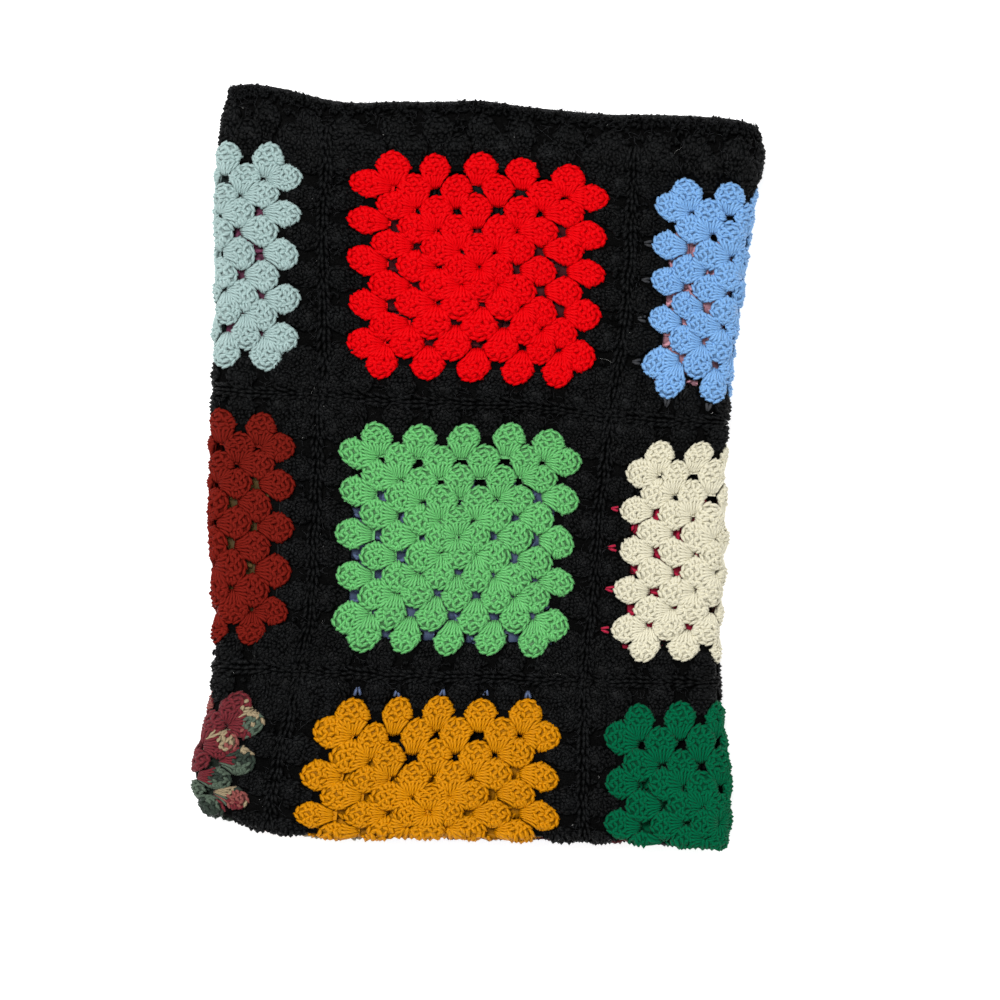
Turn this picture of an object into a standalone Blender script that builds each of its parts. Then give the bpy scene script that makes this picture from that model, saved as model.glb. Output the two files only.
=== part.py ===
"""Granny square blanket: one crocheted sheet, folded to six layers and lying flat.

The sheet is first folded in half, so that its two plain edges meet at +Y. The double sheet is
then folded in thirds: the left third goes under the middle one, and the right third under both.
Units are metres and +Z is up. The middle third of the upper half, the face, shows from above.
"""
import math
from collections import namedtuple

import bmesh
import bpy
import numpy as np

MM = 0.001

# The open blanket, five squares each way inside a narrow border.
SQUARE = 158 * MM
SQUARES_A_SIDE = 5
BORDER = 15.5 * MM
SIDE = SQUARES_A_SIDE * SQUARE + 2 * BORDER

# The crocheted sheet, and how its layers stack.
THICKNESS = 4.1 * MM
LEVEL = 4.7 * MM
PAIR = LEVEL / 2
FACE_HEIGHT = 5 * LEVEL
LEFT_HEIGHT = 3 * LEVEL
RIGHT_HEIGHT = 1 * LEVEL

# The fold across the middle: how much of the sheet lies above it, and its own length.
UPPER_LENGTH = 423.5 * MM
HALF_FOLD_LENGTH = math.pi * PAIR
LOWER_INSET = UPPER_LENGTH + HALF_FOLD_LENGTH - (SIDE - UPPER_LENGTH)
STRETCH_ALONG = 0.981
FACE_TOP = 208 * MM

# The side folds take this much of the sheet, measured on its outer layer.
LEFT_FOLD_LENGTH = math.pi * ((FACE_HEIGHT - LEFT_HEIGHT) / 2 + PAIR)
RIGHT_FOLD_LENGTH = math.pi * ((FACE_HEIGHT - RIGHT_HEIGHT) / 2 + PAIR)

# Where single layers sink onto what lies under them.
EDGE_SAG = 0.7
SETTLE_LENGTH = 50 * MM
FLOOR_GAP = 0.4 * MM
LAYER_GAP = LEVEL - THICKNESS
SWELL = 0.05

# One row for each section across the folded blanket, from its top edge down to the half fold.
# along: distance from the blanket's top edge. The others are places across, in millimetres:
# the left fold, the two seams beside the middle column of squares, and the right fold.
# slope: how far the rows of squares run down to the right, for each unit across.
Section = namedtuple("Section", "along left_fold left_seam right_seam right_fold slope")
SECTIONS = (
    Section(0 * MM, -141.5, -85.8, 92.4, 160.0, 0.052),
    Section(BORDER, -144.5, -86.3, 90.9, 162.8, 0.055),
    Section(BORDER + 0.2 * SQUARE, -149.1, -86.6, 89.1, 159.0, 0.059),
    Section(BORDER + 0.5 * SQUARE, -149.6, -86.8, 86.9, 153.0, 0.060),
    Section(BORDER + 1.0 * SQUARE, -151.2, -90.4, 77.0, 144.0, 0.065),
    Section(BORDER + 1.5 * SQUARE, -153.4, -92.6, 69.1, 142.4, 0.050),
    Section(BORDER + 2.0 * SQUARE, -151.5, -101.0, 62.0, 139.6, 0.030),
    Section(BORDER + 2.17 * SQUARE, -153.8, -107.0, 61.0, 141.2, 0.0275),
    Section(BORDER + 2.35 * SQUARE, -162.0, -114.0, 60.4, 145.0, 0.025),
    Section(UPPER_LENGTH, -160.0, -119.6, 61.0, 143.0, 0.022),
)

# Places that lie out of line with the rest: where, how far each moves, and over what distance.
Bump = namedtuple("Bump", "name x y move_x move_y reach")
BUMPS = (
    Bump("top left corner lies further up", -128 * MM, 210 * MM, 0 * MM, 5.5 * MM, 30 * MM),
    Bump("top right corner droops", 158 * MM, 200 * MM, 1.5 * MM, -0.4 * MM, 30 * MM),
    Bump("top right corner is rounded", 161 * MM, 200 * MM, -1 * MM, -2.6 * MM, 10 * MM),
    Bump("top left corner is rounded", -144 * MM, 217 * MM, -0.2 * MM, -1 * MM, 7 * MM),
    Bump("top edge dips beside its left corner", -75 * MM, 209 * MM, 0 * MM, -2.8 * MM, 24 * MM),
    Bump("top edge rises at its middle", 2 * MM, 207 * MM, 0 * MM, 2.4 * MM, 20 * MM),
    Bump("top edge dips right of its middle", 73 * MM, 201 * MM, 0 * MM, -1.6 * MM, 26 * MM),
    Bump("bottom edge hangs left of its middle", -75 * MM, -212 * MM, 0 * MM, -1.8 * MM, 28 * MM),
    Bump("bottom left corner is rounded", -165 * MM, -212 * MM, 0.2 * MM, 12.6 * MM, 30 * MM),
    Bump("bottom right corner hangs down", 138 * MM, -212 * MM, 0 * MM, -3 * MM, 30 * MM),
)

# How many strips each stretch of the sheet is divided into.
LEFT_UNDER_STRIPS = 8
LEFT_FOLD_STRIPS = 8
FACE_STRIPS = 16
RIGHT_FOLD_STRIPS = 10
RIGHT_UNDER_STRIPS = 8
UPPER_STRIPS = 20
HALF_FOLD_STRIPS = 6
LOWER_STRIPS = 17

ACROSS_STRIPS = (LEFT_UNDER_STRIPS, LEFT_FOLD_STRIPS, FACE_STRIPS, RIGHT_FOLD_STRIPS,
                 RIGHT_UNDER_STRIPS)
ALONG_STRIPS = (UPPER_STRIPS, HALF_FOLD_STRIPS, LOWER_STRIPS)

YARN_COLOUR = (0.018, 0.018, 0.021, 1.0)
YARN_ROUGHNESS = 0.95


def clear_scene():
    """Remove every object of the scene."""
    for item in list(bpy.data.objects):
        bpy.data.objects.remove(item, do_unlink=True)


def ease(amount):
    """Run smoothly from 0 to 1 as the amount does."""
    amount = np.clip(amount, 0.0, 1.0)
    return amount * amount * (3 - 2 * amount)


def section_value(column, along):
    """Read one column of SECTIONS at a distance along, by a smooth curve through its rows."""
    knots = np.array([section.along for section in SECTIONS])
    values = np.array([getattr(section, column) for section in SECTIONS])
    slopes = np.gradient(values, knots)
    along = np.clip(along, knots[0], knots[-1])
    left = np.clip(np.searchsorted(knots, along) - 1, 0, len(knots) - 2)
    span = knots[left + 1] - knots[left]
    part = (along - knots[left]) / span
    start = values[left] + part * span * slopes[left]
    end = values[left + 1] - (1 - part) * span * slopes[left + 1]
    return start + (end - start) * ease(part)


def edge_sag(along):
    """How far the top layer, alone beyond the lower layer's edge, has sunk onto the others."""
    return EDGE_SAG * ease((LOWER_INSET - along) / LOWER_INSET)


def pair_offset(along):
    """How far a layer lies from the middle of its pair."""
    return PAIR * (1 - edge_sag(along))


def level_heights(along):
    """Heights of the middle of the face's, the left third's and the right third's pairs."""
    scale = 1 - edge_sag(along) / 2
    return FACE_HEIGHT * scale, LEFT_HEIGHT * scale, RIGHT_HEIGHT * scale


def face_limits(along):
    """Where the flat face begins and ends across, between the two side folds."""
    face, left, right = level_heights(along)
    outer = pair_offset(along) + THICKNESS / 2
    begin = section_value("left_fold", along) * MM + (face - left) / 2 + outer
    end = section_value("right_fold", along) * MM - (face - right) / 2 - outer
    return begin, end


def edge_places(along):
    """Where the blanket's left and right edges are, measured across the unfolded sheet."""
    outer_columns = (SIDE - SQUARE) / 2
    left = section_value("left_seam", along) * MM - outer_columns
    right = section_value("right_seam", along) * MM + outer_columns
    return left, right


def across_place(station, along):
    """Turn a count of strips across the sheet into a place across the unfolded sheet."""
    left_edge, right_edge = edge_places(along)
    begin, end = face_limits(along)
    stops = (left_edge, begin - LEFT_FOLD_LENGTH, begin, end, end + RIGHT_FOLD_LENGTH, right_edge)
    place = np.array(stops[0], dtype=float)
    first = 0
    for strips, start, stop in zip(ACROSS_STRIPS, stops[:-1], stops[1:]):
        part = np.clip((station - first) / strips, 0.0, 1.0)
        place = place + part * (stop - start)
        first += strips
    return place


def along_place(station):
    """Turn a count of strips along the sheet into a distance from its top edge."""
    lengths = (0.0, UPPER_LENGTH, UPPER_LENGTH + HALF_FOLD_LENGTH, SIDE)
    counts = np.cumsum((0,) + ALONG_STRIPS)
    return np.interp(station, counts, lengths)


def fold_in_half(distance, height):
    """Fold the sheet in half.

    Gives the distance along from the top edge, how far the fold reaches beyond its start, and
    how far the point lies from the middle of the double sheet.
    """
    turn = np.clip((distance - UPPER_LENGTH) / HALF_FOLD_LENGTH, 0.0, 1.0) * math.pi
    lower = np.maximum(distance - UPPER_LENGTH - HALF_FOLD_LENGTH, 0.0)
    along = np.minimum(distance, UPPER_LENGTH) - lower
    offset = pair_offset(along) + height
    return along, offset * np.sin(turn), offset * np.cos(turn)


def fold_in_thirds(across, along, offset):
    """Wrap the double sheet round its two side folds. Gives the place across and the height."""
    face, left, right = level_heights(along)
    begin, end = face_limits(along)
    left_turn = np.clip((begin - across) / LEFT_FOLD_LENGTH, 0.0, 1.0) * math.pi
    right_turn = np.clip((across - end) / RIGHT_FOLD_LENGTH, 0.0, 1.0) * math.pi
    left_under = np.maximum(begin - LEFT_FOLD_LENGTH - across, 0.0)
    right_under = np.maximum(across - end - RIGHT_FOLD_LENGTH, 0.0)
    left_radius = (face - left) / 2
    right_radius = (face - right) / 2
    x = np.clip(across, begin, end) + left_under - right_under
    x = x - (left_radius + offset) * np.sin(left_turn)
    x = x + (right_radius + offset) * np.sin(right_turn)
    z = face - left_radius * (1 - np.cos(left_turn)) - right_radius * (1 - np.cos(right_turn))
    return x, z + offset * np.cos(left_turn) * np.cos(right_turn)


def settle(x, along):
    """How far the left side sinks where the right third, below it, has ended."""
    left = level_heights(along)[1]
    _, end = face_limits(along)
    right_edge = edge_places(along)[1]
    right_third_ends = end - (right_edge - end - RIGHT_FOLD_LENGTH)
    room = left - pair_offset(along) - LEVEL / 2 - FLOOR_GAP
    return room * ease((right_third_ends - x) / SETTLE_LENGTH)


def swell(x, y):
    """Soft unevenness of the stack's height, as a factor."""
    waves = np.sin(x * 31 + 0.6) * np.sin(y * 23 - 0.4) + 0.5 * np.sin(x * 17 + y * 29)
    return 1 + SWELL * waves


def fold(across, distance, height):
    """Carry a point of the flat sheet to its place in the folded blanket."""
    along, beyond, offset = fold_in_half(distance, height)
    x, z = fold_in_thirds(across, along, offset)
    y = FACE_TOP - STRETCH_ALONG * along - beyond
    z = (z - LAYER_GAP / 2 - settle(x, along)) * swell(x, y)
    y = y - section_value("slope", along) * x
    for bump in BUMPS:
        near = np.exp(-((x - bump.x) ** 2 + (y - bump.y) ** 2) / bump.reach ** 2)
        x = x + bump.move_x * near
        y = y + bump.move_y * near
    return np.stack([x, y, z], axis=-1)


def flat_sheet():
    """Make the flat sheet's mesh. Its X and Y count strips, and its Z is the height."""
    sheet = bmesh.new()
    columns = sum(ACROSS_STRIPS)
    rows = sum(ALONG_STRIPS)
    bmesh.ops.create_grid(sheet, x_segments=columns, y_segments=rows, size=0.5)
    for vertex in sheet.verts:
        vertex.co.x = (vertex.co.x + 0.5) * columns
        vertex.co.y = (0.5 - vertex.co.y) * rows
        vertex.co.z = THICKNESS / 2
    grown = bmesh.ops.extrude_face_region(sheet, geom=sheet.faces[:], use_keep_orig=True)
    for vertex in (part for part in grown["geom"] if isinstance(part, bmesh.types.BMVert)):
        vertex.co.z = -THICKNESS / 2
    bmesh.ops.recalc_face_normals(sheet, faces=sheet.faces[:])
    return sheet


def fold_sheet(sheet):
    """Move each vertex of the flat sheet to its folded place, centred above the origin."""
    flat = np.array([vertex.co[:] for vertex in sheet.verts], dtype=float)
    distance = along_place(np.round(flat[:, 1]))
    along = fold_in_half(distance, 0.0)[0]
    across = across_place(np.round(flat[:, 0]), along)
    places = fold(across, distance, flat[:, 2])
    low = places.min(axis=0)
    high = places.max(axis=0)
    centre = [(low[0] + high[0]) / 2, (low[1] + high[1]) / 2, low[2]]
    for vertex, place in zip(sheet.verts, places - centre):
        vertex.co = place
    bmesh.ops.recalc_face_normals(sheet, faces=sheet.faces[:])


def yarn_material():
    """The yarn of the joins and the border."""
    material = bpy.data.materials.new("yarn")
    material.use_nodes = True
    shader = material.node_tree.nodes["Principled BSDF"]
    shader.inputs["Base Color"].default_value = YARN_COLOUR
    shader.inputs["Roughness"].default_value = YARN_ROUGHNESS
    shader.inputs["Metallic"].default_value = 0.0
    return material


def make_blanket():
    """Build the folded blanket as one closed solid."""
    sheet = flat_sheet()
    fold_sheet(sheet)
    mesh = bpy.data.meshes.new("blanket")
    sheet.to_mesh(mesh)
    sheet.free()
    mesh.shade_smooth()
    mesh.materials.append(yarn_material())
    blanket = bpy.data.objects.new("blanket", mesh)
    bpy.context.scene.collection.objects.link(blanket)
    return blanket


clear_scene()
make_blanket()
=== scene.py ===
"""Looks of the folded granny square blanket: every treble group is built of yarn strands.

The blanket is laid out flat first, in u across and v down from its top edge, both in metres,
with a height above or below the cloth's middle. The same fold as the construction's then
carries every point to its place, so squares run round the folds as they do in the real thing.
"""
import math
from collections import namedtuple

import bpy
import numpy as np
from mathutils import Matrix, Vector


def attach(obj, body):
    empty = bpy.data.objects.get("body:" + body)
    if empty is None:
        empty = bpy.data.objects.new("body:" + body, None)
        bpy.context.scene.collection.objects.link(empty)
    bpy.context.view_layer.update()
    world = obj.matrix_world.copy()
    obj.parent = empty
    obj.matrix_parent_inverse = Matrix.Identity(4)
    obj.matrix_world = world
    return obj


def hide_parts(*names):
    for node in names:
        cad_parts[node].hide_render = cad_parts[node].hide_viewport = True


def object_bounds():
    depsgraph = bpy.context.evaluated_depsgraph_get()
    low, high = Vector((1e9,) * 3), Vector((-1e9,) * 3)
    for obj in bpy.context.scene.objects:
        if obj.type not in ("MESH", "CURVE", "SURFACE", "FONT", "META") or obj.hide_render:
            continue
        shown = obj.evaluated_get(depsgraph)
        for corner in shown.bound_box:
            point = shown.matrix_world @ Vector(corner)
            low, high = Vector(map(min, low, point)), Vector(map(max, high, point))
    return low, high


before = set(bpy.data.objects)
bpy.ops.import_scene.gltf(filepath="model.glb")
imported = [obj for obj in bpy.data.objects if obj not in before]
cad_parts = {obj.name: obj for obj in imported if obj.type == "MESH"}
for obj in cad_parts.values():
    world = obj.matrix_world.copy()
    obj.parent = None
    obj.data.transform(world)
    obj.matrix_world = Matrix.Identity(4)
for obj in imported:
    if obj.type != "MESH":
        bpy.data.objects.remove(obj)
CAD_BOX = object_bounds()

MM = 0.001
random = np.random.default_rng(7)

# ---------------- the folded sheet, as built

SQUARE = 158 * MM
SQUARES_A_SIDE = 5
BORDER = 15.5 * MM
SIDE = SQUARES_A_SIDE * SQUARE + 2 * BORDER

# The cloth's thickness, the height of one layer, and the middles of the three pairs of layers.
THICKNESS = 4.1 * MM
LEVEL = 4.7 * MM
PAIR = LEVEL / 2
FACE_HEIGHT = 5 * LEVEL
LEFT_HEIGHT = 3 * LEVEL
RIGHT_HEIGHT = 1 * LEVEL

# How the blanket is folded in half at its bottom edge.
UPPER_LENGTH = 423.5 * MM
HALF_FOLD_LENGTH = math.pi * PAIR
LOWER_INSET = UPPER_LENGTH + HALF_FOLD_LENGTH - (SIDE - UPPER_LENGTH)
STRETCH_ALONG = 0.981
FACE_TOP = 208 * MM

LEFT_FOLD_LENGTH = math.pi * ((FACE_HEIGHT - LEFT_HEIGHT) / 2 + PAIR)
RIGHT_FOLD_LENGTH = math.pi * ((FACE_HEIGHT - RIGHT_HEIGHT) / 2 + PAIR)

# How the layers settle: the top edge onto those below, the left side onto the floor.
EDGE_SAG = 0.7
SETTLE_LENGTH = 50 * MM
FLOOR_GAP = 0.4 * MM
LAYER_GAP = LEVEL - THICKNESS
SWELL = 0.05

# Sections across the folded blanket, each at a distance along from its top edge. In millimetres
# across: the left fold, the two seams beside the middle column of squares, and the right fold.
# slope: how far the rows run down to the right.
Section = namedtuple("Section", "along left_fold left_seam right_seam right_fold slope")
SECTIONS = (
    Section(0 * MM, -141.5, -85.8, 92.4, 160.0, 0.052),
    Section(BORDER, -144.5, -86.3, 90.9, 162.8, 0.055),
    Section(BORDER + 0.2 * SQUARE, -149.1, -86.6, 89.1, 159.0, 0.059),
    Section(BORDER + 0.5 * SQUARE, -149.6, -86.8, 86.9, 153.0, 0.060),
    Section(BORDER + 1.0 * SQUARE, -151.2, -90.4, 77.0, 144.0, 0.065),
    Section(BORDER + 1.5 * SQUARE, -153.4, -92.6, 69.1, 142.4, 0.050),
    Section(BORDER + 2.0 * SQUARE, -151.5, -101.0, 62.0, 139.6, 0.030),
    Section(BORDER + 2.17 * SQUARE, -153.8, -107.0, 61.0, 141.2, 0.0275),
    Section(BORDER + 2.35 * SQUARE, -162.0, -114.0, 60.4, 145.0, 0.025),
    Section(UPPER_LENGTH, -160.0, -119.6, 61.0, 143.0, 0.022),
)

# Places where the outline strays from the sections, and how far it moves, in millimetres.
Bump = namedtuple("Bump", "name x y move_x move_y reach")
BUMPS = (
    Bump("top left corner is high", -128, 210, 0, 5.5, 30),
    Bump("top right corner droops", 158, 200, 1.5, -0.4, 30),
    Bump("top right corner is rounded", 161, 200, -1, -2.6, 10),
    Bump("top left corner is rounded", -144, 217, -0.2, -1, 7),
    Bump("top edge dips on the left", -75, 209, 0, -2.8, 24),
    Bump("top edge rises in the middle", 2, 207, 0, 2.4, 20),
    Bump("top edge dips on the right", 73, 201, 0, -1.6, 26),
    Bump("bottom edge hangs on the left", -75, -212, 0, -1.8, 28),
    Bump("bottom left corner is rounded", -165, -212, 0.2, 12.6, 30),
    Bump("bottom right corner hangs", 138, -212, 0, -3, 30),
)

# ---------------- the squares

# A square's measures, in millimetres. Rounds are closer together than a treble group is long,
# so groups lie between each other like bricks. The pitch of groups is given round by round.
GROUP_LENGTH = 20.6
ROUND_DEPTH = 12.2
FIRST_ROUND_TIP = 18.2
GROUP_PITCH = (24.0, 22.4, 23.3, 23.7, 24.0, 24.0)
COLOUR_ROUNDS = 5
ROUNDS = 6
CORNER_HOLE_BACK = 21.0
FIRST_ROUND_FOOT = 1.2
FILLER_FOOT = 61.5

# Yarns: their colour in sRGB values of 0 to 255, judged, how much white light their fibres throw
# back, how much they fuzz, and how strongly their colour is painted lighter and darker from place
# to place: painted light on strand tops, painted shade at their sides, in the grooves between plies
# and in the padding's pits, together with random unevenness of fibres and dye.
Yarn = namedtuple("Yarn", "red green blue shine fuzz depth", defaults=(0.2, 0.1, 1.0))
YARNS = {
    "black": Yarn(13, 14, 15, 0.10, 0.0, 1.0),
    # A darker black for cloth that no group covers: painted shade in the gaps between groups.
    "black_painted_shade": Yarn(6, 6, 6, 0.02, 0.0, 1.0),
    "pale_sage": Yarn(138, 160, 158, 0.4, 0.2, 0.88),
    "red": Yarn(212, 0, 8, 0.05, 0.0, 0.22),
    "sky_blue": Yarn(101, 145, 191, 0.4, 0.2, 0.95),
    "rust": Yarn(96, 21, 14, 0.02, 0.0, 1.1),
    "leaf_green": Yarn(70, 138, 74, 0.5, 0.2, 1.9),
    "cream": Yarn(201, 196, 173, 0.4, 0.2, 0.52),
    "burgundy": Yarn(86, 26, 32, 0.1, 0.1, 1.4),
    "grey_green": Yarn(64, 76, 64, 0.1, 0.1, 1.5),
    "moss": Yarn(34, 43, 36, 0.1, 0.1, 1.5),
    "straw": Yarn(126, 112, 88, 0.1, 0.1, 1.4),
    "dusty_pink": Yarn(112, 60, 56, 0.1, 0.1, 1.4),
    "mustard": Yarn(170, 110, 0, 0.1, 0.0, 1.2),
    "dark_green": Yarn(0, 75, 47, 0.02, 0.05, 1.35),
    "variegated": Yarn(56, 26, 28, 0.2, 0.0, 1.0),
    "slate_blue": Yarn(74, 88, 118),
    "crimson": Yarn(160, 26, 56, 0.1, 0.1, 1.0),
    "rose": Yarn(180, 130, 142),
    "plum": Yarn(100, 50, 74),
    "olive_brown": Yarn(80, 62, 28),
    "maroon": Yarn(66, 10, 18, 0.1, 0.1, 1.0),
    "teal": Yarn(18, 100, 106),
    "orange": Yarn(196, 84, 20),
    "lilac": Yarn(146, 122, 172),
    "navy": Yarn(24, 34, 74),
    "fluff": Yarn(60, 61, 64, 0.2, 0.0, 0.0),
    "lint": Yarn(205, 205, 200, 0.2, 0.0, 0.0),
}
# The variegated yarn's runs of each dye where they show: the u and v where each begins and ends,
# in millimetres.
DYED_RUNS = {
    "burgundy": ((292, 353, 305, 347), (289, 362, 304, 368), (290, 382, 300, 384),
                 (288, 390, 290, 396), (306, 418, 318, 417)),
    "dusty_pink": ((286, 345, 289, 350), (302, 374, 308, 374), (309, 411, 314, 410)),
    "straw": ((307, 356, 310, 358), (298, 374, 300, 373), (311, 376, 312, 375),
              (304, 410, 306, 409), (319, 412, 320, 414)),
    "grey_green": ((309, 362, 318, 366), (302, 392, 318, 392), (290, 406, 304, 400),
                   (292, 414, 302, 416)),
    "moss": ((305, 382, 318, 386), (296, 398, 318, 399), (294, 424, 304, 424)),
}
# The runs are mirrored beyond the fold at this u, and strands keep to them within a spread.
DYE_FOLD = 285
DYE_SPREAD = 1.6

# The open blanket's squares, from its top edge down and from left to right.
SQUARES = [(row, column) for row in range(SQUARES_A_SIDE) for column in range(SQUARES_A_SIDE)]
SQUARE_YARNS = (
    ("teal", "pale_sage", "red", "sky_blue", "olive_brown"),
    ("lilac", "rust", "leaf_green", "cream", "plum"),
    ("maroon", "variegated", "mustard", "dark_green", "navy"),
    ("orange", "olive_brown", "slate_blue", "crimson", "teal"),
    ("cream", "plum", "maroon", "rose", "lilac"),
)

# Where gaps between coloured tips are open, and not closed by black yarn: the square, its side in
# quarter turns from the top, and how far from its middle the gaps reach, in millimetres.
OpenGap = namedtuple("OpenGap", "row column side reach")
OPEN_GAPS = (OpenGap(0, 3, 3, 57), OpenGap(0, 3, 2, 58), OpenGap(1, 3, 3, 66),
             OpenGap(1, 2, 2, 66), OpenGap(1, 2, 3, 66))

# How much further down the left, middle and right columns that show have got at each v, in
# millimetres, as the rows aren't worked quite evenly.
RowShift = namedtuple("RowShift", "v left middle right")
ROW_SHIFTS = (
    RowShift(0 * MM, 0, 0, 0),
    RowShift(28 * MM, 5.5, 1.9, 9.2),
    RowShift(160 * MM, 3.0, 2.8, 3.6),
    RowShift(186 * MM, 2.0, 2.3, 5.0),
    RowShift(318 * MM, 0.2, 3.4, 2.4),
    RowShift(344 * MM, 1.5, 1.6, 1.0),
    RowShift(UPPER_LENGTH, 0, 0, 0),
)
COLUMN_SPACING = 142 * MM
SAMPLE_LINES = 400

# How stitches have drifted inside the squares: round a u and v they have moved in u and in v, less
# and less within a reach, all in millimetres.
DRIFTS = {
    "pale_sage": ((262, 62, -2.4, -2.8, 32), (262, 128, 2.4, -2.0, 28),
                  (290, 76, -1.2, -1.6, 26), (300, 82, -1.2, -2.8, 32)),
    "red": ((368, 36, 3.0, 0.0, 30), (420, 50, -1.2, -2.4, 26), (445, 80, -0.5, -3.0, 36),
            (336, 86, -1.0, -2.8, 28), (333, 120, 0.0, -2.4, 20), (425, 125, 3.5, -0.5, 32),
            (470, 122, 0.0, -2.0, 32), (338, 148, 2.0, -2.2, 24), (420, 152, 2.4, -0.6, 40)),
    "sky_blue": ((592, 92, 0.0, 2.4, 24), (535, 103, -2.4, 2.8, 24), (512, 112, 0.3, -2.0, 28),
                 (528, 120, 0.6, -2.8, 32), (514, 130, 0.4, -0.2, 28), (567, 135, -1.5, 2.6, 26)),
    "rust": ((277, 233, 0.5, -3.0, 22), (302, 245, -0.4, -1.8, 34), (282, 300, 0.5, 2.6, 22),
             (300, 316, 0.0, -2.4, 18)),
    "leaf_green": ((440, 190, -0.4, -3.0, 30), (460, 225, -0.4, -2.0, 30),
                   (458, 236, 0.0, -2.6, 30), (425, 245, 0.4, -2.8, 34),
                   (464, 288, 1.8, -2.4, 26), (412, 290, 2.8, -0.8, 40), (368, 290, 0.8, -1.6, 24)),
    "cream": ((557, 195, -0.8, -3.0, 24), (562, 212, -3.2, -1.5, 30), (542, 214, -2.2, -0.8, 28),
              (508, 234, -2.2, -0.6, 20), (545, 238, -2.0, 0.0, 22), (565, 285, 1.5, 2.2, 28)),
    "mustard": ((360, 352, 2.6, 0.0, 22), (431, 365, -0.3, -1.7, 26), (485, 368, 0.4, 3.4, 26),
                (372, 372, 1.6, 2.8, 26), (412, 395, 1.8, 2.6, 42), (350, 396, 0.0, 4.5, 30),
                (488, 408, 0.0, 4.5, 26)),
    "dark_green": ((572, 350, -0.8, -2.0, 28), (524, 372, -0.8, 2.6, 24),
                   (562, 388, 0.0, 3.6, 32), (522, 412, 0.0, 6.0, 26)),
    "slate_blue": ((410, 632, 0.0, 9.0, 45),),
}


# ---------------- folding

def ease(amount):
    """Run smoothly from 0 to 1 as the amount does."""
    amount = np.clip(amount, 0.0, 1.0)
    return amount * amount * (3 - 2 * amount)


def section_value(column, along):
    """Read a column of SECTIONS at a distance along, smoothly between its rows."""
    knots, values = (np.array([getattr(section, name) for section in SECTIONS])
                     for name in ("along", column))
    slopes = np.gradient(values, knots)
    along = np.clip(along, knots[0], knots[-1])
    left = np.clip(np.searchsorted(knots, along) - 1, 0, len(knots) - 2)
    span = knots[left + 1] - knots[left]
    part = (along - knots[left]) / span
    start = values[left] + part * span * slopes[left]
    end = values[left + 1] - (1 - part) * span * slopes[left + 1]
    return start + (end - start) * ease(part)


def edge_sag(along):
    """How far the top layer has sunk, where it lies beyond the lower layer's edge."""
    return EDGE_SAG * ease((LOWER_INSET - along) / LOWER_INSET)


def pair_offset(along):
    """How far a layer lies from the middle of its pair."""
    return PAIR * (1 - edge_sag(along))


def level_heights(along):
    """Middle heights of the face's, the left third's and the right third's pairs."""
    scale = 1 - edge_sag(along) / 2
    return FACE_HEIGHT * scale, LEFT_HEIGHT * scale, RIGHT_HEIGHT * scale


def face_limits(along):
    """Where the flat face begins and ends, between the two side folds."""
    face, left, right = level_heights(along)
    outer = pair_offset(along) + THICKNESS / 2
    begin = section_value("left_fold", along) * MM + (face - left) / 2 + outer
    end = section_value("right_fold", along) * MM - (face - right) / 2 - outer
    return begin, end


def fold_in_half(distance, height):
    """Give the distance along, the reach beyond the half fold and the offset in the pair."""
    turn = np.clip((distance - UPPER_LENGTH) / HALF_FOLD_LENGTH, 0.0, 1.0) * math.pi
    lower = np.maximum(distance - UPPER_LENGTH - HALF_FOLD_LENGTH, 0.0)
    along = np.minimum(distance, UPPER_LENGTH) - lower
    offset = pair_offset(along) + height
    return along, offset * np.sin(turn), offset * np.cos(turn)


def fold_in_thirds(across, along, offset):
    """Wrap the pair round its side folds. Gives the place across and the height."""
    face, left, right = level_heights(along)
    begin, end = face_limits(along)
    x, z, lean = np.clip(across, begin, end), face, 1
    for way, beyond, level, length in ((-1, begin - across, left, LEFT_FOLD_LENGTH),
                                       (1, across - end, right, RIGHT_FOLD_LENGTH)):
        turn = np.clip(beyond / length, 0.0, 1.0) * math.pi
        radius = (face - level) / 2
        x = x + way * ((radius + offset) * np.sin(turn) - np.maximum(beyond - length, 0.0))
        z = z - radius * (1 - np.cos(turn))
        lean = lean * np.cos(turn)
    return x, z + offset * lean


def settle(x, along):
    """How far the left side sinks where the right third below it has ended."""
    left = level_heights(along)[1]
    _, end = face_limits(along)
    right_edge = section_value("right_seam", along) * MM + (SIDE - SQUARE) / 2
    right_third_ends = end - (right_edge - end - RIGHT_FOLD_LENGTH)
    room = left - pair_offset(along) - LEVEL / 2 - FLOOR_GAP
    return room * ease((right_third_ends - x) / SETTLE_LENGTH)


def swell(x, y):
    """Soft unevenness of the stack's height, as a factor."""
    waves = np.sin(x * 31 + 0.6) * np.sin(y * 23 - 0.4) + 0.5 * np.sin(x * 17 + y * 29)
    return 1 + SWELL * waves


def fold(across, distance, height):
    """Carry a point of the flat sheet to its folded place."""
    along, beyond, offset = fold_in_half(distance, height)
    x, z = fold_in_thirds(across, along, offset)
    y = FACE_TOP - STRETCH_ALONG * along - beyond
    z = (z - LAYER_GAP / 2 - settle(x, along)) * swell(x, y)
    y = y - section_value("slope", along) * x
    for bump in BUMPS:
        away = ((x / MM - bump.x) ** 2 + (y / MM - bump.y) ** 2) / bump.reach ** 2
        x = x + bump.move_x * MM * np.exp(-away)
        y = y + bump.move_y * MM * np.exp(-away)
    return np.stack([x, y, z], axis=-1)


def across_place(u, along):
    """Turn u into a place across the unfolded sheet."""
    left_seam = section_value("left_seam", along) * MM
    right_seam = section_value("right_seam", along) * MM
    left_u = (SIDE - SQUARE) / 2
    right_u = (SIDE + SQUARE) / 2
    middle = left_seam + (u - left_u) * (right_seam - left_seam) / SQUARE
    outer = np.where(u < left_u, left_seam + u - left_u, right_seam + u - right_u)
    return np.where((u < left_u) | (u > right_u), outer, middle)


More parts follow.
